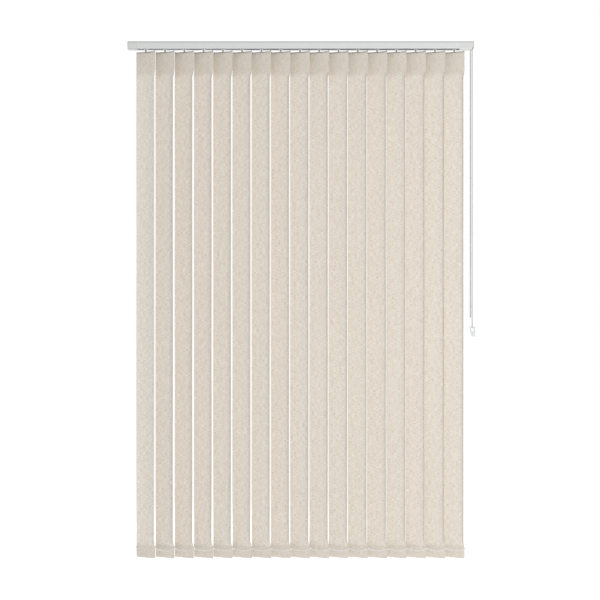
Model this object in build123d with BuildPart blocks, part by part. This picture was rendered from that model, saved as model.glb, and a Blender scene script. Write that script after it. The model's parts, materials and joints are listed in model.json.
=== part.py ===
"""Vertical blind: a headrail with seventeen travelling carriers, each turning a hanging fabric vane.

Frame: millimetres, +Z up, +X along the rail towards the control end, -Y towards the room.
The origin is on the rail's top face, midway between the first and the last vane, above the stems.
"""

from build123d import *
import math
import os

# ---------------------------------------------------------------- driving dimensions
vane_count = 17
vane_pitch = 80.0
stack_pitch = 26.0
vane_width = 89.0
rest_angle = 26.0
overall_drop = 2139.0

rail_width = 42.0
rail_height = 30.0
rail_wall = 1.5
slot_width = 17.0
step_height = 3.5
step_depth = 1.2
lip_upstand = 2.6
lip_upstand_wall = 1.4
edge_radius = 0.9

end_cap_length = 40.0
control_length = 59.0
cap_proud = 0.5
cap_wall = 2.0
end_cap_corner = 4.0
control_corner = 8.0
low_corner = 2.0
bush_wall = 1.2
bush_length = 12.0
notch_width = 5.0
notch_height = 4.5
rail_margin_left = 34.0
rail_margin_right = 21.0
tongue_length = 16.0
tongue_root = 8.0
tongue_wall = 2.0

fabric = 0.45
pocket_gap = 2.4
top_pocket = 80.0
bottom_pocket = 48.0
seam = 3.0
slant = 3.0
plate = 1.8
weight_inset = 2.5
chain_rise = 42.0

carrier_gap = 0.8
carrier_side_play = 2.5
carrier_corner = 2.0
carrier_top = 7.0
neck_play = 1.0
foot_height = 4.2
stem_radius = 3.25
gear_radius = 5.5
gear_height = 6.0
gear_teeth = 12
tooth_depth = 1.0
rod_radius = 3.0
rod_lobe_radius = 1.3
rod_depth = 16.0
worm_play = 0.9
stem_drop = 10.0

card_bar = 3.0
bar_corner = 1.2
card_height = 26.0
card_neck = 14.0
corner_rise = 3.0
corner_width = 3.0
corner_inset = 0.4
corner_block_radius = 0.6
blade_corner = 3.0
ear_width = 5.0
ear_height = 7.0
peg_radius = 1.0
peg_drop = 2.8
peg_half_length = 1.95

lug = 2.0
lug_reach = 4.5
pin_offset = 1.2
pin_radius = 0.8
pin_head_radius = 1.3
pin_head = 0.8
clip_radius = 3.0
clip_height = 2.2
clip_bite = 0.4
chain_diameter = 2.0
chain_sag = 9.0
span_points = 6
arc_share = 0.45

wheel_pitch_radius = 7.5
wheel_flange_radius = 7.0
wheel_flange = 1.4
tilt_chain_diameter = 4.2
tilt_chain_inset = 11.5
draw_cord_diameter = 2.4
draw_cord_inset = 6.6
draw_cord_y = -10.0
cord_hole_play = 0.6

route_top = 18.0
weight_width = 23.0
weight_depth = 10.0
weight_length = 41.0
weight_top = 1180.0
weight_bar = 5.0
weight_bar_depth = 6.0
window_height = 15.0
window_width = 12.0
window_slope = 4.0
weight_wall = 5.0
weight_foot_width = 14.0
weight_groove = 3.8
weight_bar_round = 2.25
weight_foot_radius = 1.5

# ---------------------------------------------------------------- clearances
slide_gap = 0.2
soft_gap = 0.3
running_gap = 0.15
seat_gap = 0.1
loose_gap = 0.5

# ---------------------------------------------------------------- places worked out from them
first_x = -vane_pitch * (vane_count - 1) / 2
last_x = -first_x
rail_left = first_x - rail_margin_left
rail_right = last_x + rail_margin_right
inner_half = rail_width / 2 - rail_wall
lip_top = -rail_height + rail_wall
upstand_outer = slot_width / 2 + lip_upstand_wall
vane_top = -rail_height - stem_drop
fabric_top = vane_top - card_bar - slide_gap
vane_bottom = -overall_drop
pocket_half = pocket_gap / 2
fold_half = pocket_half + fabric
fold_centre_top = fabric_top - fold_half
fold_centre_bottom = vane_bottom + fold_half
chain_z = vane_bottom + chain_rise
rod_y = gear_radius + rod_radius + loose_gap
control_right = rail_right + control_length
tilt_chain_x = control_right - tilt_chain_inset
draw_cord_x = control_right - draw_cord_inset
rod_z = -rod_depth
stations = [first_x + vane_pitch * i for i in range(vane_count)]


def write(shape, name):
    """Label one finished piece and write it as its own STEP file."""
    shape.label = name
    export_step(shape, f"parts/{name}.step")


def at_station(x, turn=0.0):
    """Place of one vane's pieces: under its station, turned with the vane."""
    return Location((x, 0, 0), (0, 0, -turn))


os.makedirs("parts", exist_ok=True)

# ---------------------------------------------------------------- headrail
# An aluminium channel, open below along a slot. Its lips turn up beside the slot and carry the carriers.
# It is kept as five straight members that meet face to face, so that each one's hull is its own shape.
top_half = rail_width / 2 - step_depth
shoulder_half = inner_half - step_depth
shoulder_low = -step_height - rail_wall
with BuildPart() as roof:
    with BuildSketch(Plane.YZ.offset(rail_left)):
        with Locations((0, -rail_wall / 2)):
            Rectangle(2 * top_half, rail_wall)
    extrude(amount=rail_right - rail_left)

with BuildPart() as wall:
    with BuildSketch(Plane.YZ.offset(rail_left)):
        with BuildLine():
            Polyline(
                (shoulder_half, -rail_wall),
                (top_half, -rail_wall),
                (top_half, -step_height),
                (rail_width / 2, -step_height),
                (rail_width / 2, -rail_height),
                (inner_half, -rail_height),
                (inner_half, shoulder_low),
                (shoulder_half, shoulder_low),
                close=True,
            )
        make_face()
    extrude(amount=rail_right - rail_left)
    low_edges = wall.edges().filter_by(Axis.X).group_by(Axis.Z)[0].sort_by(Axis.Y)
    fillet(low_edges[-1], radius=edge_radius)

with BuildPart() as lip:
    with BuildSketch(Plane.YZ.offset(rail_left)):
        with BuildLine():
            Polyline(
                (slot_width / 2, -rail_height),
                (inner_half, -rail_height),
                (inner_half, lip_top),
                (upstand_outer, lip_top),
                (upstand_outer, lip_top + lip_upstand),
                (slot_width / 2, lip_top + lip_upstand),
                close=True,
            )
        make_face()
    extrude(amount=rail_right - rail_left)
sides = [wall.part, lip.part, mirror(wall.part, about=Plane.XZ), mirror(lip.part, about=Plane.XZ)]
write(Compound(children=[roof.part] + sides), "headrail")

# ---------------------------------------------------------------- end cap
# A moulded shell that closes the rail's far end, with two tongues inside the rail and the rod's bush.
cap_half = rail_width / 2 + cap_proud
cap_height = rail_height + cap_proud
bush_radius = rod_radius + running_gap + bush_wall
tongue_y = inner_half - soft_gap - tongue_wall / 2
tongue_low = lip_top + soft_gap
tongue_high = shoulder_low - soft_gap
tongue_middle = (tongue_low + tongue_high) / 2
web_reach = inner_half + cap_proud
web_y = (tongue_y + web_reach) / 2
with BuildPart() as end_cap:
    with BuildSketch(Plane.YZ.offset(rail_left - end_cap_length)):
        with Locations((0, -cap_height / 2)):
            Rectangle(2 * cap_half, cap_height)
    extrude(amount=end_cap_length)
    far_face = end_cap.faces().sort_by(Axis.X)[0]
    fillet(far_face.edges().filter_by(Axis.Z), radius=end_cap_corner)
    fillet(end_cap.edges().filter_by(Axis.Y).group_by(Axis.X)[0].sort_by(Axis.Z)[0], radius=low_corner)
    with BuildSketch(Plane.YZ.offset(rail_left)):
        with Locations((0, -cap_height / 2)):
            Rectangle(2 * (cap_half - cap_wall), cap_height - 2 * cap_wall)
    extrude(amount=-(end_cap_length - cap_wall), mode=Mode.SUBTRACT)
    with BuildSketch(Plane.YZ.offset(rail_left - end_cap_length + cap_wall)):
        with Locations((rod_y, rod_z)):
            Circle(bush_radius)
    extrude(amount=end_cap_length - cap_wall)
    with BuildSketch(Plane.YZ.offset(rail_left - end_cap_length + cap_wall)):
        with Locations((rod_y, rod_z)):
            Circle(rod_radius + running_gap)
    extrude(amount=end_cap_length - cap_wall, mode=Mode.SUBTRACT)
    with BuildSketch(Plane.YZ.offset(rail_left - tongue_root)):
        with Locations((-tongue_y, tongue_middle), (tongue_y, tongue_middle)):
            Rectangle(tongue_wall, tongue_high - tongue_low)
    extrude(amount=tongue_root + tongue_length)
    with BuildSketch(Plane.XY.offset(tongue_low)):
        with Locations((rail_left - tongue_root / 2, -web_y), (rail_left - tongue_root / 2, web_y)):
            Rectangle(tongue_root, web_reach - tongue_y)
    extrude(amount=tongue_high - tongue_low)
write(end_cap.part, "end_cap")

# ---------------------------------------------------------------- control end
# The housing at the operating end: the chain wheel turns inside it, and both control loops leave below.
exit_hole = tilt_chain_diameter / 2 + cord_hole_play
cord_hole = draw_cord_diameter / 2 + cord_hole_play
cord_half = weight_bar_depth / 2 + draw_cord_diameter / 2 + running_gap
wheel_gap_half = tilt_chain_diameter / 2 + soft_gap
wheel_half = wheel_gap_half + wheel_flange
carrier_length = stack_pitch - carrier_gap
control_tongue = rail_margin_right - carrier_length / 2 - loose_gap
with BuildPart() as control_end:
    with BuildSketch(Plane.YZ.offset(rail_right)):
        with Locations((0, -cap_height / 2)):
            Rectangle(2 * cap_half, cap_height)
    extrude(amount=control_length)
    end_face = control_end.faces().sort_by(Axis.X)[-1]
    fillet(end_face.edges().filter_by(Axis.Z), radius=control_corner)
    fillet(control_end.edges().filter_by(Axis.Y).group_by(Axis.X)[-1].sort_by(Axis.Z)[0], radius=low_corner)
    with BuildSketch(Plane.XY.offset(-cap_wall)):
        with Locations((rail_right + (control_length - cap_wall) / 2, 0)):
            Rectangle(control_length - cap_wall, 2 * (cap_half - cap_wall))
    extrude(amount=2 * cap_wall - cap_height, mode=Mode.SUBTRACT)
    with BuildSketch(Plane.XY.offset(-cap_height)):
        with Locations(
            (tilt_chain_x, rod_y - wheel_pitch_radius),
            (tilt_chain_x, rod_y + wheel_pitch_radius),
        ):
            Circle(exit_hole)
    extrude(amount=cap_wall, mode=Mode.SUBTRACT)
    with BuildSketch(Plane.XY.offset(-cap_height)):
        with Locations(
            (draw_cord_x, draw_cord_y - cord_half),
            (draw_cord_x, draw_cord_y + cord_half),
        ):
            Circle(cord_hole)
    extrude(amount=cap_wall, mode=Mode.SUBTRACT)
    with BuildSketch(Plane.XZ.offset(cap_half - cap_wall)):
        with Locations((draw_cord_x, -cap_height + notch_height / 2)):
            Rectangle(notch_width, notch_height)
    extrude(amount=cap_wall, mode=Mode.SUBTRACT)
    with BuildSketch(Plane.YZ.offset(control_right - cap_wall)):
        with Locations((rod_y, rod_z)):
            Circle(bush_radius)
    extrude(amount=tilt_chain_x + wheel_half + loose_gap - control_right + cap_wall)
    with BuildSketch(Plane.YZ.offset(control_right - cap_wall)):
        with Locations((rod_y, rod_z)):
            Circle(rod_radius + running_gap)
    extrude(amount=-bush_length, mode=Mode.SUBTRACT)
    with BuildSketch(Plane.YZ.offset(rail_right - control_tongue)):
        with Locations((-tongue_y, tongue_middle), (tongue_y, tongue_middle)):
            Rectangle(tongue_wall, tongue_high - tongue_low)
    extrude(amount=tongue_root + control_tongue)
    with BuildSketch(Plane.XY.offset(tongue_low)):
        with Locations((rail_right + tongue_root / 2, -web_y), (rail_right + tongue_root / 2, web_y)):
            Rectangle(tongue_root, web_reach - tongue_y)
    extrude(amount=tongue_high - tongue_low)
write(control_end.part, "control_end")

# ---------------------------------------------------------------- tilt rod and its chain wheel
rod_start = rail_left - end_cap_length + cap_wall + loose_gap
rod_end = control_right - cap_wall - loose_gap
with BuildPart() as tilt_rod:
    with BuildSketch(Plane.YZ.offset(rod_start)):
        with Locations((rod_y, rod_z)):
            Circle(rod_radius - rod_lobe_radius / 2)
            with PolarLocations(rod_radius - rod_lobe_radius, 3):
                Circle(rod_lobe_radius)
    extrude(amount=rod_end - rod_start)

wheel_groove = wheel_pitch_radius - tilt_chain_diameter / 2 - slide_gap
with BuildPart() as chain_wheel:
    with BuildSketch(Plane.YZ.offset(tilt_chain_x - wheel_gap_half - wheel_flange)):
        with Locations((rod_y, rod_z)):
            Circle(wheel_flange_radius)
    extrude(amount=wheel_flange)
    with BuildSketch(Plane.YZ.offset(tilt_chain_x - wheel_gap_half)):
        with Locations((rod_y, rod_z)):
            Circle(wheel_groove)
    extrude(amount=2 * wheel_gap_half)
    with BuildSketch(Plane.YZ.offset(tilt_chain_x + wheel_gap_half)):
        with Locations((rod_y, rod_z)):
            Circle(wheel_flange_radius)
    extrude(amount=wheel_flange)
    with BuildSketch(Plane.YZ.offset(tilt_chain_x - wheel_gap_half - wheel_flange)):
        with Locations((rod_y, rod_z)):
            Circle(rod_radius + seat_gap)
    extrude(amount=2 * wheel_half, mode=Mode.SUBTRACT)
write(Compound(children=[tilt_rod.part, chain_wheel.part]), "tilt_rod")

# ---------------------------------------------------------------- carrier
# A moulded block that glides on the rail's lips. The stem's gear sits in its well, the rod runs past it.
body_bottom = lip_top + lip_upstand + loose_gap
body_width = 2 * (inner_half - carrier_side_play)
neck_radius = slot_width / 2 - neck_play
foot_outer = inner_half - soft_gap
foot_inner = upstand_outer + loose_gap
foot_bottom = lip_top + slide_gap
well_floor = rod_z - gear_height / 2 - slide_gap
with BuildPart() as carrier:
    with BuildSketch(Plane.XY.offset(body_bottom)):
        RectangleRounded(carrier_length, body_width, carrier_corner)
    extrude(amount=-carrier_top - body_bottom)
    with BuildSketch(Plane.XY.offset(foot_bottom)):
        with Locations((0, -(foot_inner + foot_outer) / 2), (0, (foot_inner + foot_outer) / 2)):
            RectangleRounded(carrier_length, foot_outer - foot_inner, carrier_corner)
    extrude(amount=foot_height)
    with BuildSketch(Plane.XY.offset(body_bottom)):
        Circle(neck_radius)
    extrude(amount=-rail_height + slide_gap - body_bottom)
    with BuildSketch(Plane.XY.offset(well_floor)):
        Circle(gear_radius + loose_gap)
    extrude(amount=-carrier_top - well_floor, mode=Mode.SUBTRACT)
    with BuildSketch(Plane.XY.offset(-rail_height)):
        Circle(stem_radius + running_gap)
    extrude(amount=rail_height + well_floor, mode=Mode.SUBTRACT)
    with BuildSketch(Plane.YZ.offset(-carrier_length / 2)):
        with Locations((rod_y, rod_z)):
            Circle(rod_radius + worm_play)
    extrude(amount=carrier_length, mode=Mode.SUBTRACT)
for number, station in enumerate(stations, start=1):
    write(carrier.part.moved(at_station(station)), f"carrier_{number:02d}")

# ---------------------------------------------------------------- hanger: stem with its gear, and the card
# Both are drawn for a vane that lies along X, then turned with the vane.
ear_top = vane_top + ear_height
peg_z = ear_top - peg_drop
with BuildPart() as stem:
    with BuildSketch(Plane.XY.offset(vane_top + slide_gap)):
        Circle(stem_radius)
    extrude(amount=rod_z - vane_top - slide_gap)
    with BuildSketch(Plane.XY.offset(rod_z - gear_height / 2)):
        Circle(gear_radius)
        with PolarLocations(gear_radius, gear_teeth):
            Circle(tooth_depth, mode=Mode.SUBTRACT)
    extrude(amount=gear_height)
    with BuildSketch(Plane.XY.offset(vane_top + slide_gap)):
        Rectangle(2 * stem_radius, plate + 2 * running_gap)
    extrude(amount=ear_height + slide_gap, mode=Mode.SUBTRACT)
    with BuildSketch(Plane.XZ.offset(-peg_half_length)):
        with Locations((0, peg_z)):
            Circle(peg_radius)
    extrude(amount=2 * peg_half_length)

with BuildPart() as card:
    with BuildSketch(Plane.XY.offset(vane_top - card_bar)):
        RectangleRounded(vane_width, card_bar, bar_corner)
    extrude(amount=card_bar)
    with BuildSketch(Plane.XY.offset(vane_top)):
        corner_x = (vane_width - corner_width) / 2 - corner_inset
        with Locations((-corner_x, 0), (corner_x, 0)):
            RectangleRounded(corner_width, plate, corner_block_radius)
    extrude(amount=corner_rise)
    blade_top = fold_centre_top
    with BuildSketch(Plane.XZ.offset(-plate / 2)):
        with Locations((0, (vane_top - card_bar + blade_top) / 2)):
            Rectangle(card_neck, vane_top - card_bar - blade_top)
        with Locations((0, blade_top - card_height / 2)):
            RectangleRounded(vane_width - 2 * weight_inset, card_height, blade_corner)
        with Locations((0, vane_top + ear_height / 2)):
            Rectangle(ear_width, ear_height)
        with Locations((0, peg_z)):
            Circle(peg_radius + running_gap, mode=Mode.SUBTRACT)
    extrude(amount=plate)
for number, station in enumerate(stations, start=1):
    place = at_station(station, rest_angle)
    pieces = [stem.part.moved(place), card.part.moved(place)]
    write(Compound(children=pieces), f"hanger_{number:02d}")

# ---------------------------------------------------------------- vane: folded strip and bottom weight
# One strip of fabric folded back at the top and at the bottom, where each fold makes a welded pocket.
with BuildPart() as strip:
    with BuildSketch(Plane.YZ):
        with BuildLine():
            front = Line((-fold_half, fold_centre_bottom), (-fold_half, fold_centre_top))
            ThreePointArc(front @ 1, (0, fabric_top), (fold_half, fold_centre_top))
            Polyline(
                (fold_half, fold_centre_top),
                (fold_half, fabric_top - top_pocket + seam + slant),
                (-fold_half + 2 * fabric, fabric_top - top_pocket + seam),
                (-fold_half + 2 * fabric, fabric_top - top_pocket),
                (-fold_half + fabric, fabric_top - top_pocket),
                (-fold_half + fabric, vane_bottom + bottom_pocket),
                (-fold_half + 2 * fabric, vane_bottom + bottom_pocket),
                (-fold_half + 2 * fabric, vane_bottom + bottom_pocket - seam),
                (fold_half, vane_bottom + bottom_pocket - seam - slant),
                (fold_half, fold_centre_bottom),
            )
            ThreePointArc((fold_half, fold_centre_bottom), (0, vane_bottom), front @ 0)
        make_face()
        with BuildLine():
            ThreePointArc(
                (-pocket_half, fold_centre_top),
                (0, fabric_top - fabric),
                (pocket_half, fold_centre_top),
            )
            Polyline(
                (pocket_half, fold_centre_top),
                (pocket_half, fabric_top - top_pocket + seam + slant),
                (-pocket_half, fabric_top - top_pocket + seam),
                (-pocket_half, fold_centre_top),
            )
        make_face(mode=Mode.SUBTRACT)
        with BuildLine():
            ThreePointArc(
                (-pocket_half, fold_centre_bottom),
                (0, vane_bottom + fabric),
                (pocket_half, fold_centre_bottom),
            )
            Polyline(
                (pocket_half, fold_centre_bottom),
                (pocket_half, vane_bottom + bottom_pocket - seam - slant),
                (-pocket_half, vane_bottom + bottom_pocket - seam),
                (-pocket_half, fold_centre_bottom),
            )
        make_face(mode=Mode.SUBTRACT)
    extrude(amount=vane_width / 2, both=True)
    with BuildSketch(Plane.XY.offset(fabric_top)):
        Rectangle(card_neck + 2 * loose_gap, 2 * fold_half)
    extrude(amount=-fold_half, mode=Mode.SUBTRACT)

pin_reach = vane_width / 2 + lug_reach
lug_z = chain_z - clip_height / 2 - soft_gap - lug
pin_height = lug + clip_height + 2 * soft_gap
lug_width = pin_offset + pin_head_radius + plate / 2
weight_plate_top = lug_z + lug
weight_plate_height = weight_plate_top - fold_centre_bottom
with BuildPart() as bottom_weight:
    with BuildSketch(Plane.XZ.offset(-plate / 2)):
        with Locations((0, (fold_centre_bottom + weight_plate_top) / 2)):
            RectangleRounded(vane_width - 2 * weight_inset, weight_plate_height, blade_corner)
        with Locations((0, lug_z + lug / 2)):
            Rectangle(2 * pin_reach, lug)
    extrude(amount=plate)
    for side in (-1, 1):
        pin_place = (side * pin_reach, -side * pin_offset)
        lug_middle = (pin_offset + pin_head_radius - plate / 2) / 2
        with BuildSketch(Plane.XY.offset(lug_z)):
            with Locations((side * pin_reach, -side * lug_middle)):
                RectangleRounded(2 * pin_head_radius, lug_width, pin_radius)
        extrude(amount=lug)
        with BuildSketch(Plane.XY.offset(lug_z)):
            with Locations(pin_place):
                Circle(pin_radius)
        extrude(amount=pin_height)
        with BuildSketch(Plane.XY.offset(lug_z + pin_height)):
            with Locations(pin_place):
                Circle(pin_head_radius)
        extrude(amount=pin_head)
for number, station in enumerate(stations, start=1):
    place = at_station(station, rest_angle)
    pieces = [strip.part.moved(place), bottom_weight.part.moved(place)]
    write(Compound(children=pieces), f"vane_{number:02d}")

# ---------------------------------------------------------------- bottom chains
# Each chain runs from clip to clip along one edge of the vanes, and sags between them.


def chain_run(start_x, y):
    """Points of one sagging span, from a clip's wall to the next one's."""
    length = vane_pitch - 2 * clip_radius + clip_bite * 2
    points = []
    for i in range(span_points + 1):
        share = i / span_points
        drop = 4 * chain_sag * share * (1 - share)
        points.append(Vector(start_x + clip_radius - clip_bite + share * length, y, chain_z - drop))
    return points


def corner_radii(points):
    """Radius of the arc at each corner of a route: a share of its shorter run over the half turn's tangent."""
    radii = []
    for before, corner, after in zip(points, points[1:], points[2:]):
        turn = (corner - before).get_angle(after - corner)
        shorter = min((corner - before).length, (after - corner).length)
        radii.append(arc_share * shorter / math.tan(math.radians(turn) / 2))
    return radii


turn = math.radians(rest_angle)
clip_dx = pin_reach * math.cos(turn) - pin_offset * math.sin(turn)
clip_dy = -pin_reach * math.sin(turn) - pin_offset * math.cos(turn)
for edge, name in ((1, "front_chain"), (-1, "back_chain")):
    clip_y = edge * clip_dy
    with BuildPart() as bottom_chain:
        for station in stations:
            with BuildSketch(Plane.XY.offset(chain_z - clip_height / 2)):
                with Locations((station + edge * clip_dx, clip_y)):
                    Circle(clip_radius)
                    Circle(pin_radius + soft_gap, mode=Mode.SUBTRACT)
            extrude(amount=clip_height)
        for station in stations[:-1]:
            run = chain_run(station + edge * clip_dx, clip_y)
            with BuildLine() as span:
                FilletPolyline(*run, radius=corner_radii(run))
            with BuildSketch(Plane(origin=span.line @ 0, z_dir=span.line % 0)):
                Circle(chain_diameter / 2)
            sweep(path=span.line)
    write(bottom_chain.part, name)

# ---------------------------------------------------------------- tilt chain
# An endless bead chain over the chain wheel. Its two sides hang one behind the other.
tilt_chain_points = [
    (-7.5, -18.0),
    (-7.5, -1032.0),
    (-13.2, -1092.0),
    (-13.5, -1132.0),
    (-9.9, -1138.3),
    (-3.6, -1141.9),
    (3.6, -1141.9),
    (9.9, -1138.3),
    (13.5, -1132.0),
    (13.0, -1090.0),
    (7.5, -1028.0),
    (7.5, -18.0),
]


def cord_tube(route, diameter, name):
    """A round cord along straight runs joined by tangent arcs, with its radii and length printed."""
    radii = corner_radii(route)
    with BuildPart() as cord:
        with BuildLine() as path:
            FilletPolyline(*route, radius=radii)
        with BuildSketch(Plane(origin=path.line @ 0, z_dir=path.line % 0)):
            Circle(diameter / 2)
        sweep(path=path.line)
    length = path.wires()[0].length
    section = math.pi * diameter**2 / 4
    print(name, "radii", [round(r, 1) for r in radii], "length", round(length, 1))
    print(name, "volume over section times length", round(cord.part.volume / (section * length), 4))
    return cord.part


tilt_route = [Vector(tilt_chain_x, rod_y + y, z) for y, z in tilt_chain_points]
write(cord_tube(tilt_route, tilt_chain_diameter, "tilt_chain"), "tilt_chain")

# ---------------------------------------------------------------- draw cord and its weight
# The cord's loop hangs straight under the weight, which rides on it by the bar across its top.
cord_low = -weight_top - weight_bar - draw_cord_diameter / 2 - running_gap
draw_route = [
    Vector(draw_cord_x, draw_cord_y - cord_half, -route_top),
    Vector(draw_cord_x, draw_cord_y - cord_half, cord_low),
    Vector(draw_cord_x, draw_cord_y + cord_half, cord_low),
    Vector(draw_cord_x, draw_cord_y + cord_half, -route_top),
]
write(cord_tube(draw_route, draw_cord_diameter, "draw_cord"), "draw_cord")

with BuildPart() as cord_weight:
    with BuildSketch(Plane.XZ.offset(-draw_cord_y - weight_depth / 2)):
        with BuildLine():
            weight_right = draw_cord_x + weight_width / 2
            weight_left = draw_cord_x - weight_width / 2
            Polyline(
                (weight_left, -weight_top),
                (weight_right, -weight_top),
                (weight_right, -weight_top - weight_length),
                (weight_right - weight_foot_width, -weight_top - weight_length),
                (weight_left, -weight_top - weight_bar),
                close=True,
            )
        make_face()
        window_top = -weight_top - weight_bar
        with BuildLine():
            window_right = weight_right - weight_wall
            Polyline(
                (window_right - window_width, window_top),
                (window_right, window_top),
                (window_right, window_top - window_height),
                (window_right - window_width + window_slope, window_top - window_height),
                close=True,
            )
        make_face(mode=Mode.SUBTRACT)
    extrude(amount=weight_depth)
    with BuildSketch(Plane.XY.offset(-weight_top - weight_bar)):
        with Locations((draw_cord_x, draw_cord_y)):
            Rectangle(weight_groove, weight_depth)
    extrude(amount=weight_bar, mode=Mode.SUBTRACT)
    with BuildSketch(Plane.YZ.offset(draw_cord_x - weight_groove / 2)):
        with Locations((draw_cord_y, -weight_top - weight_bar / 2)):
            RectangleRounded(weight_bar_depth, weight_bar, weight_bar_round)
    extrude(amount=weight_groove)
    fillet(cord_weight.edges().filter_by(Axis.Y).group_by(Axis.Z)[0], radius=weight_foot_radius)
write(cord_weight.part, "cord_weight")
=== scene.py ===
# %% [markdown]
# # A vertical blind
#
# A vertical blind hangs strips of stiffened cloth, called vanes, from a slotted aluminium rail. The CAD
# frame already holds every rigid piece at its true size, so this notebook gives those pieces their
# finishes and adds what CAD only stands in for: the folded cloth of the vanes, the bead chains and the
# braided draw cord.

import json
import math

import bmesh
import bpy
import numpy as np
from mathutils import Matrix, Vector


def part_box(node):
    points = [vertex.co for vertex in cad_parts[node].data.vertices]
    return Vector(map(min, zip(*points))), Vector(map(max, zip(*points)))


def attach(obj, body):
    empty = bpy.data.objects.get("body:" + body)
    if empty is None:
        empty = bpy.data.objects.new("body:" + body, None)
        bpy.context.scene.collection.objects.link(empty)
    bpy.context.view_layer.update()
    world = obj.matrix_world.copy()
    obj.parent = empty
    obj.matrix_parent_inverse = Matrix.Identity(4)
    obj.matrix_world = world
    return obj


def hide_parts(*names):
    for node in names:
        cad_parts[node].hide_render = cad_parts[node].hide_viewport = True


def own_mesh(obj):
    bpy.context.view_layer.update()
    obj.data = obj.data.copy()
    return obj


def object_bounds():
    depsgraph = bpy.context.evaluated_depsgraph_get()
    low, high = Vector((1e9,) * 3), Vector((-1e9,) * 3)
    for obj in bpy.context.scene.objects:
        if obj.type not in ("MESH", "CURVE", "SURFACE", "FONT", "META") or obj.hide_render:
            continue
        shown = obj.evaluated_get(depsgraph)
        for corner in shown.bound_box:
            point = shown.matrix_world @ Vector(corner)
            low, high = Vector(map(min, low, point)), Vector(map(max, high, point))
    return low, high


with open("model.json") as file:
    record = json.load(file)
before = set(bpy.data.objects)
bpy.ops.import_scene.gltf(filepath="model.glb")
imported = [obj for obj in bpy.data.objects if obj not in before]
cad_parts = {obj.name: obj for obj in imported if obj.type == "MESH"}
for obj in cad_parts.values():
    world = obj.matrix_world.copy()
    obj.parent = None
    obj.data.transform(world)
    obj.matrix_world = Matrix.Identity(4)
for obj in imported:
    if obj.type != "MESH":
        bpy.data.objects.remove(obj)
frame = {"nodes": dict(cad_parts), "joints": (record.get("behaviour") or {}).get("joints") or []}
cad_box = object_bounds()
nodes = frame["nodes"]
joints = {joint["name"]: joint for joint in frame["joints"]}

# %% [markdown]
# ## Places and sizes
#
# Every place is read from the frame. A vane turns about its stem, so its tilt joint says where it hangs,
# and the boxes of its card and its weight say where the cloth starts and ends. The sizes below are those
# of the cloth, the beads and the cord, in metres.

# %% Places and sizes
MM = 0.001
vane_count = sum(1 for name in nodes if name.startswith("vane_"))
vane_names = [f"{n:02d}" for n in range(1, vane_count + 1)]
tilt_of = {n: joints["tilt" if n == vane_names[-1] else f"tilt_{n}"] for n in vane_names}
station_x = {n: tilt_of[n]["pos_m"][0] for n in vane_names}
pitch = (station_x[vane_names[-1]] - station_x[vane_names[0]]) / (vane_count - 1)

rest_angle = math.radians(26)
vane_width = 89 * MM
cloth = 0.45 * MM
fold_half = 1.65 * MM
top_pocket = 80 * MM
bottom_pocket = 48 * MM
seam = 3 * MM
slant = 3 * MM
punched_slot = 15 * MM
vane_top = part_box("vane_01")[1][2]
vane_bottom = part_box("vane_01")[0][2]
print("vanes", vane_count, "pitch", round(pitch, 4))
print("cloth from", round(vane_top, 4), "to", round(vane_bottom, 4))

# %% [markdown]
# ## Camera, floor and light
#
# The blind is seen square on from the height of its middle, through a long lens, so the rails of the
# picture stay parallel and only the depth of each vane gives the perspective away. The light is a white
# room: an even glow from all round, a pale floor well below the hems, a soft window of light in front and
# to the right, and a weaker one behind. The front one reaches into each vane behind its neighbour, and
# leaves the rolled right edges darker.

# %% Camera, floor and light
scene = bpy.context.scene
scene.view_settings.view_transform = "Standard"
middle_z = (cad_box[0][2] + cad_box[1][2]) / 2
camera_data = bpy.data.cameras.new("camera")
camera_data.lens = 83.85
camera_data.sensor_width = 36
camera = bpy.data.objects.new("camera", camera_data)
camera.location = (0, -5.8, middle_z)
camera.rotation_euler = (math.pi / 2, 0, 0)
scene.collection.objects.link(camera)
scene.camera = camera


def linear(hex_colour):
    """Scene colour of an sRGB hex value: each channel c becomes ((c + 0.055) / 1.055) to the power 2.4."""
    channels = np.array([int(hex_colour[i : i + 2], 16) for i in (1, 3, 5)]) / 255
    low = channels / 12.92
    high = ((channels + 0.055) / 1.055) ** 2.4
    return (*np.where(channels <= 0.04045, low, high).tolist(), 1.0)


def add(tree, kind, inputs=None, **settings):
    """Adds one node with its settings, and gives each input a value or another node's output."""
    made = tree.nodes.new(kind)
    for key, value in settings.items():
        setattr(made, key, value)
    for key, value in (inputs or {}).items():
        if isinstance(value, bpy.types.NodeSocket):
            tree.links.new(value, made.inputs[key])
        else:
            made.inputs[key].default_value = value
    return made


def soft_light(name, place, size, power, aim):
    """One square softbox at a place, turned to face the point it is aimed at."""
    data = bpy.data.lights.new(name, "AREA")
    data.size = size
    data.energy = power
    made = bpy.data.objects.new(name, data)
    made.location = place
    made.rotation_euler = (aim - made.location).to_track_quat("-Z", "Y").to_euler()
    scene.collection.objects.link(made)


centre = Vector((0, 0, middle_z))
soft_light("window_light", (2.3, -4.0, middle_z + 0.3), 1.4, 78, centre)
soft_light("rear_light", (-1.5, 4.0, middle_z + 0.8), 2.5, 30, centre)

world = bpy.data.worlds.new("white_room")
scene.world = world
world.use_nodes = True
world.node_tree.nodes.clear()
seen = add(world.node_tree, "ShaderNodeLightPath")
glow = add(world.node_tree, "ShaderNodeBackground", {"Color": (1, 1, 1, 1), "Strength": 0.46})
white = add(world.node_tree, "ShaderNodeBackground", {"Color": (1, 1, 1, 1), "Strength": 1.0})
both = add(
    world.node_tree,
    "ShaderNodeMixShader",
    {0: seen.outputs["Is Camera Ray"], 1: glow.outputs[0], 2: white.outputs[0]},
)
add(world.node_tree, "ShaderNodeOutputWorld", {"Surface": both.outputs[0]})


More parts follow.
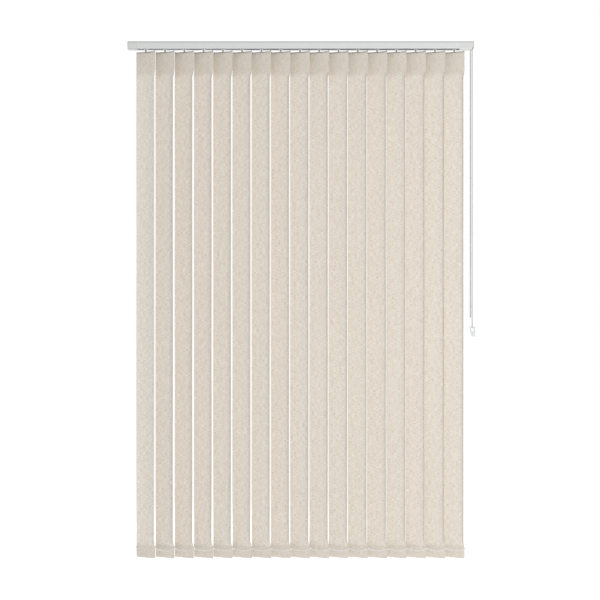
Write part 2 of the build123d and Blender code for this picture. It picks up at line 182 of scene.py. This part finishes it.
def new_material(name):
    """A material with a Principled shader on its output: the material, its node tree and the shader."""
    made = bpy.data.materials.new(name)
    made.use_nodes = True
    made.node_tree.nodes.clear()
    shader = add(made.node_tree, "ShaderNodeBsdfPrincipled")
    add(made.node_tree, "ShaderNodeOutputMaterial", {"Surface": shader.outputs[0]})
    return made, made.node_tree, shader


floor_mat, floor_tree, floor_shader = new_material("pale_floor")
floor_shader.inputs["Base Color"].default_value = linear("#F4F4F4")
floor_shader.inputs["Roughness"].default_value = 0.9
floor_shader.inputs["Emission Color"].default_value = (1, 1, 1, 1)
floor_shader.inputs["Emission Strength"].default_value = 0.6
floor_drop = 0.45
floor_z = vane_bottom - floor_drop
reach = 40.0
floor_mesh = bpy.data.meshes.new("floor")
floor_mesh.from_pydata(
    [(-reach, -reach, floor_z), (reach, -reach, floor_z), (reach, reach, floor_z), (-reach, reach, floor_z)],
    [],
    [(0, 1, 2, 3)],
)
floor_mesh.materials.append(floor_mat)
floor = bpy.data.objects.new("floor", floor_mesh)
scene.collection.objects.link(floor)
print("camera", camera.location[:], "floor at", round(floor_z, 3))

# %% [markdown]
# ## Surfaces from arrays
#
# Every new piece is a grid of points. A grid may close on itself along its columns, as a tube does, and
# many grids can share one mesh, as the beads of a chain do. One function joins such grids into an object.

# %% Surfaces from arrays


def grid_faces(rows, columns, closed=False):
    """Quads of a grid whose point (r, c) has index r * columns + c.

    A closed grid joins its last column to its first.
    """
    r = np.arange(rows - 1)[:, None]
    c = np.arange(columns if closed else columns - 1)[None, :]
    after = (c + 1) % columns
    this_row, next_row = r * columns, (r + 1) * columns
    quads = np.stack([this_row + c, this_row + after, next_row + after, next_row + c], -1)
    return quads.reshape(-1, 4)


def mesh_object(name, parts, material, smooth=True):
    """One object from parts, each a point array and face arrays that count from its own first point."""
    points = np.concatenate([part[0] for part in parts])
    faces, start = [], 0
    for part in parts:
        for array in part[1:]:
            faces += (array + start).tolist()
        start += len(part[0])
    mesh = bpy.data.meshes.new(name)
    mesh.from_pydata(points.tolist(), [], faces)
    mesh.polygons.foreach_set("use_smooth", np.full(len(faces), smooth))
    mesh.materials.append(material)
    mesh.update()
    made = bpy.data.objects.new(name, mesh)
    scene.collection.objects.link(made)
    return made


def beads(centres, radius, around=8, along=5):
    """Small closed balls: at each centre, rows of points at equal steps between two poles, and the poles."""
    down = np.linspace(0, math.pi, along + 2)[1:-1, None]
    turn = np.linspace(0, 2 * math.pi, around, endpoint=False)[None, :]
    ball = np.stack(
        [np.sin(down) * np.cos(turn), np.sin(down) * np.sin(turn), np.cos(down) + 0 * turn], -1
    ).reshape(-1, 3)
    ball = np.concatenate([ball, [[0, 0, 1], [0, 0, -1]]])
    sides = grid_faces(along, around, closed=True)[:, ::-1]
    c = np.arange(around)
    after = (c + 1) % around
    top, bottom, last = along * around, along * around + 1, (along - 1) * around
    caps = np.concatenate(
        [np.stack([c, after, c * 0 + top], -1), np.stack([last + after, last + c, c * 0 + bottom], -1)]
    )
    count = len(ball)
    points = (centres[:, None, :] + radius * ball[None]).reshape(-1, 3)
    starts = (np.arange(len(centres)) * count)[:, None, None]
    return points, (sides[None] + starts).reshape(-1, 4), (caps[None] + starts).reshape(-1, 3)


def tube(path, radius, around=8):
    """A round tube about a path: at each point a ring of equal angles, square to the path's direction."""
    path = np.asarray(path, float)
    ahead = np.gradient(path, axis=0)
    ahead /= np.linalg.norm(ahead, axis=1)[:, None]
    side = np.cross(ahead, np.where(abs(ahead[:, :1]) > 0.9, [[0, 1.0, 0]], [[1.0, 0, 0]]))
    side /= np.linalg.norm(side, axis=1)[:, None]
    up = np.cross(side, ahead)
    turn = np.linspace(0, 2 * math.pi, around, endpoint=False)[None, :, None]
    ring = path[:, None] + radius * (np.cos(turn) * side[:, None] + np.sin(turn) * up[:, None])
    return ring.reshape(-1, 3), grid_faces(len(path), around, closed=True)


print("surface helpers ready")

# %% [markdown]
# ## Finishes
#
# Moulded plastics share one recipe: a plain colour, a fine pebbled mould texture in the bump, and slight
# cloudiness in the roughness. The rail is powder-coated aluminium, whose paint flows into a soft orange
# peel.

# %% Moulded and coated finishes


def moulded(name, colour, roughness, grain_mm, bump_mm, second=None):
    """A moulded or coated surface: a colour, cloudy towards a second one, and a fine grain of a real size."""
    made, tree, shader = new_material(name)
    place = add(tree, "ShaderNodeTexCoord").outputs["Object"]
    cloud = add(tree, "ShaderNodeTexNoise", {"Vector": place, "Scale": 22.0, "Detail": 3.0})
    tint = add(
        tree,
        "ShaderNodeMix",
        {0: cloud.outputs[0], 6: linear(colour), 7: linear(second or colour)},
        data_type="RGBA",
    )
    tree.links.new(tint.outputs[2], shader.inputs["Base Color"])
    satin = add(
        tree,
        "ShaderNodeMapRange",
        {0: cloud.outputs[0], 1: 0.3, 2: 0.7, 3: roughness - 0.05, 4: roughness + 0.05},
    )
    tree.links.new(satin.outputs[0], shader.inputs["Roughness"])
    grain = add(tree, "ShaderNodeTexNoise", {"Vector": place, "Scale": 1 / (grain_mm * MM), "Detail": 2.0})
    pebble = add(
        tree, "ShaderNodeBump", {"Height": grain.outputs[0], "Distance": bump_mm * MM, "Strength": 0.5}
    )
    tree.links.new(pebble.outputs[0], shader.inputs["Normal"])
    return made


# Powder coat on aluminium: a satin pale grey paint with a soft orange peel a few millimetres across.
powder_coat = moulded("powder_coated_aluminium", "#D3D5D5", 0.38, 3.0, 0.06, "#CFD1D1")
# ABS, injection moulded: a little brighter and glossier than the painted rail.
abs_cap = moulded("moulded_abs", "#D1D2D0", 0.36, 1.2, 0.03, "#CCCDCB")
# Acetal, the slippery plastic of gliders: off-white and waxy.
acetal = moulded("moulded_acetal", "#DAD8D0", 0.42, 0.8, 0.02, "#D2D0C8")
# Polypropylene, grey: the stems and the cards.
grey_polypropylene = moulded("grey_polypropylene", "#A09F98", 0.45, 0.7, 0.02, "#94938C")
# Polystyrene, a cool grey: the beads of the tilt chain.
bead_grey = moulded("cool_grey_polystyrene", "#C6CACD", 0.3, 1.0, 0.02, "#B0B5BA")
# Polystyrene, white and glossy: the bottom chains, their clips and the bottom weights.
white_polystyrene = moulded("white_polystyrene", "#F1F3F5", 0.24, 1.0, 0.02, "#EBEEF1")
# Bare extruded aluminium: a metal with drawn-out lines along the rod.
mill_aluminium, tree, shader = new_material("mill_aluminium")
place = add(tree, "ShaderNodeTexCoord").outputs["Object"]
drawn = add(tree, "ShaderNodeMapping", {"Vector": place, "Scale": (6.0, 900.0, 900.0)})
lines = add(tree, "ShaderNodeTexNoise", {"Vector": drawn.outputs[0], "Scale": 1.0, "Detail": 3.0})
shade = add(tree, "ShaderNodeMapRange", {0: lines.outputs[0], 3: 0.22, 4: 0.42})
tree.links.new(shade.outputs[0], shader.inputs["Roughness"])
shader.inputs["Base Color"].default_value = linear("#D6D7D9")
shader.inputs["Metallic"].default_value = 1.0

# The narrow step along the top of the rail and its caps, the rail's inside and the far cap's underside are
# drawn a darker grey: painted shade, where these recesses and undersides stand in shade. Each painted shade
# is kept to a span of heights or depths, in metres.


def paint_shade_on(material, colour, *spans):
    """Paints shade into a finish: turns it to another, darker colour where every (axis, low, high) span holds
    the object's coordinate.

    Axis 0 to 2 is x, y or z, and axis 3 is the size of y. A span holds c where
    |c - (low + high) / 2| < (high - low) / 2.
    """
    tree = material.node_tree
    shader = next(node for node in tree.nodes if node.type == "BSDF_PRINCIPLED")
    paint = shader.inputs["Base Color"].links[0].from_socket
    axes = add(tree, "ShaderNodeSeparateXYZ", {0: add(tree, "ShaderNodeTexCoord").outputs["Object"]}).outputs
    depth = add(tree, "ShaderNodeMath", {0: axes[1]}, operation="ABSOLUTE").outputs[0]
    share = None
    for axis, low, high in spans:
        value = (*axes, depth)[axis]
        middle, half_span = (low + high) / 2, (high - low) / 2
        within = add(
            tree, "ShaderNodeMath", {0: value, 1: middle, 2: half_span}, operation="COMPARE"
        ).outputs[0]
        if share is None:
            share = within
        else:
            share = add(tree, "ShaderNodeMath", {0: share, 1: within}, operation="MULTIPLY").outputs[0]
    painted_shade_mix = add(tree, "ShaderNodeMix", {0: share, 6: paint, 7: linear(colour)}, data_type="RGBA")
    tree.links.new(painted_shade_mix.outputs[2], shader.inputs["Base Color"])


# Painted shade: a shaded copy of the moulded ABS for the far cap, whose underside is drawn dark.
far_cap_painted_shade = moulded("moulded_abs_far_cap_painted_shade", "#D1D2D0", 0.36, 1.2, 0.03, "#CCCDCB")
# Painted shade: the recessed step along the top of the rail and both caps is drawn darker.
for finish in (powder_coat, abs_cap, far_cap_painted_shade):
    paint_shade_on(finish, "#A3A4A4", (2, -3.6 * MM, 1 * MM))
# Painted shade: the rail's inside, seen through its slot, is drawn dark.
paint_shade_on(powder_coat, "#7E8081", (3, -1 * MM, 20.9 * MM), (2, -31 * MM, -3.7 * MM))
# Painted shade: the far cap's underside is drawn dark.
paint_shade_on(far_cap_painted_shade, "#7E8081", (2, -32 * MM, -29.6 * MM))
# Polystyrene again, tinted a light grey: the cord's weight.
grey_polystyrene = moulded("grey_polystyrene", "#CDD0D0", 0.3, 1.0, 0.02, "#C6C9C9")

rigid_finish = {
    "headrail": powder_coat,
    "end_cap": far_cap_painted_shade,
    "control_end": abs_cap,
    "tilt_rod": mill_aluminium,
    "cord_weight": grey_polystyrene,
}
finished = 0
for name, obj in nodes.items():
    finish = rigid_finish.get(name)
    if name.startswith("carrier_"):
        finish = acetal
    if name.startswith("hanger_"):
        finish = grey_polypropylene
    if finish:
        obj.data.materials.clear()
        obj.data.materials.append(finish)
        finished += 1
print("finished nodes", finished)

# %% [markdown]
# ## The cloth's weave
#
# The vanes are a slubbed plain weave, stiffened so that it hangs straight. Slubs are thick stretches in
# the yarn: they show as short darker and lighter dashes along the weft, which runs across the vane, and a
# few along the warp. A real thread is about 0.4 mm, too fine to show from here, so the threads are drawn
# 1.3 mm apart. The pattern follows the cloth's own UV map, which is in metres along and across the strip.

# %% The cloth's weave
woven, tree, shader = new_material("slubbed_polyester_weave")
shader.inputs["Roughness"].default_value = 0.85
shader.inputs["Sheen Weight"].default_value = 0.25
shader.inputs["Sheen Roughness"].default_value = 0.5
strip_uv = add(tree, "ShaderNodeUVMap", uv_map="strip").outputs[0]
thread = 1.3 * MM


def streaks(across_mm, along_mm, detail=2.0):
    """Noise drawn out to dashes of a real length across and along the strip, from 0 to 1."""
    scale = (1 / (across_mm * MM), 1 / (along_mm * MM), 1.0)
    stretched = add(tree, "ShaderNodeMapping", {"Vector": strip_uv, "Scale": scale}).outputs[0]
    noise = add(tree, "ShaderNodeTexNoise", {"Vector": stretched, "Scale": 1.0, "Detail": detail})
    return noise.outputs[0]


def blended(share, first, second):
    """Colour that goes from the first to the second with the share."""
    return add(tree, "ShaderNodeMix", {0: share, 6: first, 7: second}, data_type="RGBA").outputs[2]


def ramp(value, low, high, out_low=0.0, out_high=1.0):
    """The value carried from low..high to out_low..out_high and held at both ends."""
    span = {0: value, 1: low, 2: high, 3: out_low, 4: out_high}
    return add(tree, "ShaderNodeMapRange", span).outputs[0]


weft_slubs = streaks(14.0, 1.3)
warp_slubs = streaks(1.5, 30.0)
mottle = streaks(16.0, 22.0, 3.0)
colour = blended(ramp(mottle, 0.35, 0.65), linear("#E2DACF"), linear("#EAE3D9"))
colour = blended(ramp(weft_slubs, 0.52, 0.7, 0.0, 0.95), colour, linear("#C2B7A7"))
colour = blended(ramp(weft_slubs, 0.47, 0.28, 0.0, 0.75), colour, linear("#F8F3EB"))
colour = blended(ramp(warp_slubs, 0.55, 0.74, 0.0, 0.6), colour, linear("#CCC2B3"))
# Painted shade: the cloth in the pockets, fading out below the top one and above the bottom one, is drawn
# darker, for the back light that the doubled cloth holds back, the shade under the rail at the top and the
# weaker light near the hems.
painted_pocket_shade = add(tree, "ShaderNodeAttribute", attribute_name="painted_pocket_shade").outputs["Fac"]
pocket_shade_amount = ramp(painted_pocket_shade, 0.0, 1.0, 0.0, 0.32)
colour = blended(pocket_shade_amount, colour, linear("#BDB3A4"))
tree.links.new(colour, shader.inputs["Base Color"])
split = add(tree, "ShaderNodeSeparateXYZ", {0: strip_uv})
turns = 2 * math.pi / thread
weft = add(tree, "ShaderNodeMath", {0: split.outputs[1], 1: turns}, operation="MULTIPLY").outputs[0]
warp = add(tree, "ShaderNodeMath", {0: split.outputs[0], 1: turns}, operation="MULTIPLY").outputs[0]
weft = add(tree, "ShaderNodeMath", {0: weft}, operation="SINE").outputs[0]
warp = add(tree, "ShaderNodeMath", {0: warp}, operation="SINE").outputs[0]
over_under = add(tree, "ShaderNodeMath", {0: weft, 1: warp}, operation="MULTIPLY").outputs[0]
height = add(tree, "ShaderNodeMath", {0: weft_slubs, 1: 2.0, 2: over_under}, operation="MULTIPLY_ADD")
relief = add(tree, "ShaderNodeBump", {"Height": height.outputs[0], "Distance": 0.12 * MM, "Strength": 0.6})
tree.links.new(relief.outputs[0], shader.inputs["Normal"])
print("weave drawn with threads", thread / MM, "mm apart")

# %% [markdown]
# ## The vanes
#
# Each vane is one strip of cloth. It starts at the welded seam behind the top pocket, goes up, folds over
# the card, hangs down the room side, folds under the weight and ends at the seam of the lower pocket.
# Inside the pockets the card and the weight keep it flat. Between them it is slightly hollow towards the
# room, its edges roll forward, and it draws in, so the pockets are the widest places. The strip is worked
# out flat, as a grid across and along, then bent by formula, and Solidify gives it the cloth's thickness.

# %% The strip's path and shape
fold = fold_half - cloth / 2
welded = -fold + cloth
fine_run = 40 * MM
left_band = 6 * MM
right_band = 12 * MM


def strip_path():
    """The strip's centre line as (offset from the vane's plane, height) from the upper seam to the lower one.

    Straight stretches are equal steps, finer near the pockets. Each fold is half a circle about the pocket's
    middle. Also returned: the number of points before the first fold, in a fold, and after the last fold.
    """
    over = np.linspace(0, math.pi, 9)
    below_top = vane_top - top_pocket - fine_run
    above_bottom = vane_bottom + bottom_pocket + fine_run
    hang = np.concatenate(
        [
            np.linspace(vane_top - fold_half, below_top, 16),
            np.linspace(below_top, above_bottom, 52)[1:-1],
            np.linspace(above_bottom, vane_bottom + fold_half, 14),
        ]
    )
    top_back = [
        (welded, vane_top - top_pocket),
        (welded, vane_top - top_pocket + seam),
        (fold, vane_top - top_pocket + seam + slant),
        (fold, vane_top - top_pocket / 2),
    ]
    bottom_back = [
        (fold, vane_bottom + bottom_pocket / 2),
        (fold, vane_bottom + bottom_pocket - seam - slant),
        (welded, vane_bottom + bottom_pocket - seam),
        (welded, vane_bottom + bottom_pocket),
    ]
    top_fold = np.stack([fold * np.cos(over), vane_top - fold_half + fold * np.sin(over)], -1)
    front = np.stack([np.full(len(hang), -fold), hang], -1)[1:-1]
    bottom_fold = np.stack([-fold * np.cos(over), vane_bottom + fold_half - fold * np.sin(over)], -1)
    line = np.concatenate([top_back, top_fold, front, bottom_fold, bottom_back])
    return line, len(top_back), len(over), len(bottom_back)


path, fold_row, fold_rows, rows_after = strip_path()
along = np.concatenate([[0], np.cumsum(np.linalg.norm(np.diff(path, axis=0), axis=1))])
half = vane_width / 2
across = np.concatenate(
    [
        np.linspace(-half, -half + left_band, 4),
        np.linspace(-half + left_band, -punched_slot / 2, 8)[1:],
        np.linspace(-punched_slot / 2, punched_slot / 2, 5)[1:],
        np.linspace(punched_slot / 2, half - right_band, 7)[1:],
        np.linspace(half - right_band, half, 9)[1:],
    ]
)
bow = 4.2 * MM
curl = 6.0 * MM
curl_width = 9 * MM
first_curl_share = 0.2
left_curl = 0.4 * MM
wave_depth = 0.5 * MM
draw_in = 0.03
clear_over = 30 * MM
shade_low = 10 * MM
shade_high = 26 * MM


def smooth_step(x):
    """0 below 0, 1 above 1, and 3x^2 - 2x^3 between."""
    x = np.clip(x, 0, 1)
    return x * x * (3 - 2 * x)


def make_vane(number):
    """One strip: free = how far a height is clear of both pockets, 0 to 1 over 30 mm.

    Across, s runs from -1 to 1. The cloth is hollow towards the room by bow * (1 - s^2). Its edges roll
    forward by the square of the way past the curl's start, and the first vane's right edge rolls less. A slow
    wave, different on each vane, runs down it.
    """
    name = vane_names[number]
    rng = np.random.default_rng(100 + number)
    s = across[None, :] / half
    offset, z = path[:, :1], path[:, 1:]
    low_edge, high_edge = vane_bottom + bottom_pocket, vane_top - top_pocket
    free = smooth_step((z - low_edge) / clear_over) * smooth_step((high_edge - z) / clear_over)
    on_front = np.zeros((len(path), 1))
    on_front[fold_row + fold_rows : len(path) - fold_rows - rows_after] = 1
    free = free * on_front
    wave = wave_depth * np.sin(2 * math.pi * z / rng.uniform(0.7, 1.1) + rng.uniform(0, 6.28)) * s
    right = np.clip((across[None, :] - (half - curl_width)) / curl_width, 0, 1)
    left = np.clip((-half + left_band - across[None, :]) / left_band, 0, 1)
    roll = first_curl_share * curl if number == 0 else curl
    depth = offset + free * (bow * (0.5 - s**2) - roll * right**2 - left_curl * left**2 + wave)
    width = across[None, :] * (1 - draw_in * free)
    c, sn = math.cos(-rest_angle), math.sin(-rest_angle)
    x = station_x[name] + width * c - depth * sn
    y = width * sn + depth * c
    points = np.stack([x, y, z + 0 * x], -1).reshape(-1, 3)
    quads = grid_faces(len(path), len(across))
    centre_of = across[None, :-1] + np.diff(across)[None, :] / 2
    row = np.arange(len(path) - 1)[:, None]
    in_fold = (row >= fold_row + 1) & (row < fold_row + fold_rows - 2)
    keep = ~(in_fold & (abs(centre_of) < punched_slot / 2)).reshape(-1)
    quads = quads[keep]
    made = mesh_object(f"vane_cloth_{name}", [(points, quads)], woven)
    u = (across[None, :] + 0.13 * number + 0 * z).reshape(-1)
    v = (along[:, None] + 0.37 * number + 0 * s).reshape(-1)
    uv = made.data.uv_layers.new(name="strip")
    uv.data.foreach_set("uv", np.stack([u, v], -1)[quads.reshape(-1)].reshape(-1))
    # Painted shade: a share of 1 in the pockets, fading out over 26 mm below the top one and 10 mm above the
    # bottom one.
    free_of_pocket_shade = smooth_step((z - low_edge) / shade_low) * smooth_step((high_edge - z) / shade_high)
    shade_in_pockets = (1 - free_of_pocket_shade) + 0 * s
    pocket_shade_attribute = made.data.attributes.new("painted_pocket_shade", "FLOAT", "POINT")
    pocket_shade_attribute.data.foreach_set("value", shade_in_pockets.reshape(-1).astype(np.float32))
    wall = made.modifiers.new("cloth_thickness", "SOLIDIFY")
    wall.thickness = cloth
    wall.offset = 0
    return made


def loose_part(node, start_index):
    """Points and faces of the piece of a CAD node that one vertex belongs to, taken from a merged copy."""
    mesh = bmesh.new()
    mesh.from_mesh(nodes[node].data)
    bmesh.ops.remove_doubles(mesh, verts=mesh.verts, dist=1e-7)
    mesh.verts.ensure_lookup_table()
    coordinates = np.array([v.co[:] for v in mesh.verts])
    start = mesh.verts[start_index(coordinates)]
    found, waiting = {start}, [start]
    while waiting:
        for edge in waiting.pop().link_edges:
            for v in edge.verts:
                if v not in found:
                    found.add(v)
                    waiting.append(v)
    bmesh.ops.delete(mesh, geom=[v for v in mesh.verts if v not in found], context="VERTS")
    return mesh


for number, name in enumerate(vane_names):
    body = tilt_of[name]["child"]
    vane = make_vane(number)
    x = station_x[name]
    solid = loose_part(f"vane_{name}", lambda co: int(np.argmax(np.hypot(co[:, 0] - x, co[:, 1]))))
    weight_mesh = bpy.data.meshes.new(f"bottom_weight_{name}")
    solid.to_mesh(weight_mesh)
    solid.free()
    weight_mesh.materials.clear()
    weight_mesh.materials.append(white_polystyrene)
    weight = bpy.data.objects.new(f"bottom_weight_{name}", weight_mesh)
    scene.collection.objects.link(weight)
    for piece, slot in ((vane, "fabric"), (weight, "weight")):
        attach(piece, body)
        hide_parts(f"vane_{name}")
print("vanes made", vane_count)

# %% [markdown]
# ## Bottom chains
#
# Two light bead chains keep the vanes in step, one along their front edges and one along their back
# edges. A small clip turns on the pin of each weight and rides with the vane, so it keeps its shape when
# the vanes stack. Between two clips the chain hangs in a shallow curve, drawn as the parabola z = -4 sag
# t (1 - t), which is all but a catenary when the sag is small. It also stands off outwards, which leaves
# room for the vanes to turn.

# %% Bottom chains
clip_radius = 3.0 * MM
clip_hole = 1.15 * MM
clip_height = 2.2 * MM
sag = 9.0 * MM
stand_off = 4.5 * MM
squareness = 10
ring_bite = 0.6 * MM
chain_thread = 0.45 * MM
small_bead = 1.45 * MM
bead_step = 4.1 * MM


def clip(place):
    """A ring with rounded edges, turned about the pin: a rounded square section carried round a circle."""
    edge = np.linspace(0, 2 * math.pi, 12, endpoint=False)
    power = lambda w: np.sign(w) * abs(w) ** 0.6
    mean, thick = (clip_radius + clip_hole) / 2, (clip_radius - clip_hole) / 2
    radius = mean + thick * power(np.cos(edge))
    height = clip_height / 2 * power(np.sin(edge))
    turn = np.linspace(0, 2 * math.pi, 20, endpoint=False)[:, None]
    ring = np.stack([radius * np.cos(turn), radius * np.sin(turn), height + 0 * turn], -1)
    ring = np.concatenate([ring, ring[:1]])
    return (ring + place).reshape(-1, 3), grid_faces(21, 12, closed=True)


def span_shape(share):
    """A span from clip to clip at shares t of its run.

    x = t, y = 1 - (2t - 1)^10, which is outwards and flat for most of the run, and z = -4 sag t (1 - t).
    """
    return np.concatenate([share, 1 - (2 * share - 1) ** squareness, -4 * sag * share * (1 - share)], 1)


for side, out in (("front", -stand_off), ("back", stand_off)):
    swing = joints[f"{side}_chain_swing"]
    anchor = np.array(swing["pos_m"])
    parts = []
    for n in range(vane_count):
        place = anchor - [pitch * (vane_count - 1 - n), 0, 0]
        ring = mesh_object(f"{side}_chain_clip_{n + 1:02d}", [clip(place)], white_polystyrene)
        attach(ring, f"vane_body_{n + 1:02d}")
        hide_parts(f"{side}_chain")
        if n == vane_count - 1:
            continue
        share = np.linspace(0, 1, 25)[:, None]
        run = pitch - 2 * clip_radius + 2 * ring_bite
        start = place + [clip_radius - ring_bite, 0, 0]
        curve = start + span_shape(share) * [run, out, 1]
        parts.append(tube(curve, chain_thread, 6))
        count = int(run // bead_step)
        t = (np.arange(count) + 0.5)[:, None] / count
        centres = start + span_shape(t) * [run, out, 1]
        parts.append(beads(centres, small_bead))
    chain = mesh_object(f"{side}_bottom_chain", parts, white_polystyrene)
    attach(chain, swing["child"])
    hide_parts(f"{side}_chain")
    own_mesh(chain)
    print(chain.name, "faces", len(chain.data.polygons))

# %% [markdown]
# ## Tilt chain and draw cord
#
# Both are endless loops that hang from the control end. The bead chain goes over the chain wheel, and its
# two sides hang one behind the other. The draw cord is pulled straight by the weight that rides in its
# loop. Each follows one smooth curve through the same route as its CAD tube.

# %% Tilt chain and draw cord


def smooth_route(name, route):
    """A curve with the route's points as its control points, of order 3 and held at both ends."""
    data = bpy.data.curves.new(name, "CURVE")
    data.dimensions = "3D"
    spline = data.splines.new("NURBS")
    spline.points.add(len(route) - 1)
    spline.points.foreach_set("co", [value for point in route for value in (*point, 1.0)])
    spline.order_u = 3
    spline.use_endpoint_u = True
    spline.resolution_u = 24
    data.resolution_u = 24
    made = bpy.data.objects.new(name, data)
    scene.collection.objects.link(made)
    return made


def line_of(curve):
    """The points along a curve that has no thickness yet, in order."""
    bpy.context.view_layer.update()
    mesh = bpy.data.meshes.new_from_object(curve)
    points = np.array([v.co[:] for v in mesh.vertices])
    bpy.data.meshes.remove(mesh)
    return points


def at_steps(points, step, margin=0.0):
    """Points at equal steps along a line, and the line's length."""
    run = np.concatenate([[0], np.cumsum(np.linalg.norm(np.diff(points, axis=0), axis=1))])
    count = int((run[-1] - 2 * margin) / step) + 1
    at = np.linspace(margin, run[-1] - margin, count)
    return np.stack([np.interp(at, run, points[:, k]) for k in range(3)], -1), float(run[-1])


chain_bead = 2.1 * MM
bead_pitch = 5.0 * MM
link_radius = 0.6 * MM
line_step = 4.0 * MM
rod_joint = joints["rod_turn"]["pos_m"]
chain_x = (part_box("tilt_chain")[0][0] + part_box("tilt_chain")[1][0]) / 2
chain_route = [
    (-7.5, -18.0),
    (-7.5, -1006.0),
    (-7.5, -1032.0),
    (-13.2, -1092.0),
    (-13.5, -1132.0),
    (-9.9, -1138.3),
    (-3.6, -1141.9),
    (3.6, -1141.9),
    (9.9, -1138.3),
    (13.5, -1132.0),
    (13.0, -1090.0),
    (7.5, -1028.0),
    (7.5, -1002.0),
    (7.5, -18.0),
]
route_in_metres = [(chain_x, rod_joint[1] + y * MM, z * MM) for y, z in chain_route]
chain_curve = smooth_route("tilt_chain_line", route_in_metres)
chain_line = line_of(chain_curve)
bpy.data.objects.remove(chain_curve)
bead_places, chain_length = at_steps(chain_line, bead_pitch, chain_bead)
fine_line, _ = at_steps(chain_line, line_step)
links = tube(fine_line, link_radius, 6)
tilt_chain = mesh_object("tilt_bead_chain", [links, beads(bead_places, chain_bead)], bead_grey)
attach(tilt_chain, "root")
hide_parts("tilt_chain")
print("tilt chain", round(chain_length, 3), "m,", len(bead_places), "beads")

braid, tree, shader = new_material("braided_polyester")
shader.inputs["Roughness"].default_value = 0.6
place = add(tree, "ShaderNodeTexCoord").outputs["Object"]
plait = add(tree, "ShaderNodeMapping", {"Vector": place, "Rotation": (0, 0.6, 0), "Scale": (1.0, 1.0, 1.0)})
strands = add(
    tree,
    "ShaderNodeTexWave",
    {"Vector": plait.outputs[0], "Scale": 320.0, "Distortion": 1.5},
    bands_direction="Z",
)
tint = add(
    tree,
    "ShaderNodeMix",
    {0: strands.outputs["Fac"], 6: linear("#9FA3A8"), 7: linear("#C0C4C8")},
    data_type="RGBA",
)
tree.links.new(tint.outputs[2], shader.inputs["Base Color"])
lay_bump = add(tree, "ShaderNodeBump", {"Height": strands.outputs["Fac"], "Distance": 0.15 * MM})
tree.links.new(lay_bump.outputs[0], shader.inputs["Normal"])

cord_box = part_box("draw_cord")
cord_x = (cord_box[0][0] + cord_box[1][0]) / 2
cord_y = (cord_box[0][1] + cord_box[1][1]) / 2
cord_radius = 1.2 * MM
cord_half = (cord_box[1][1] - cord_box[0][1]) / 2 - cord_radius
cord_top, cord_low = cord_box[1][2], cord_box[0][2] + cord_radius
by_bar = 14 * MM
cord_route = [
    (cord_x, cord_y - cord_half, cord_top),
    (cord_x, cord_y - cord_half, cord_low + by_bar),
    (cord_x, cord_y - cord_half, cord_low),
    (cord_x, cord_y + cord_half, cord_low),
    (cord_x, cord_y + cord_half, cord_low + by_bar),
    (cord_x, cord_y + cord_half, cord_top),
]
draw_cord = smooth_route("braided_draw_cord", cord_route)
_, cord_length = at_steps(line_of(draw_cord), 5 * MM)
draw_cord.data.bevel_depth = cord_radius
draw_cord.data.bevel_resolution = 3
draw_cord.data.use_fill_caps = True
draw_cord.data.materials.append(braid)
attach(draw_cord, "root")
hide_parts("draw_cord")
print("draw cord", round(cord_length, 3), "m")
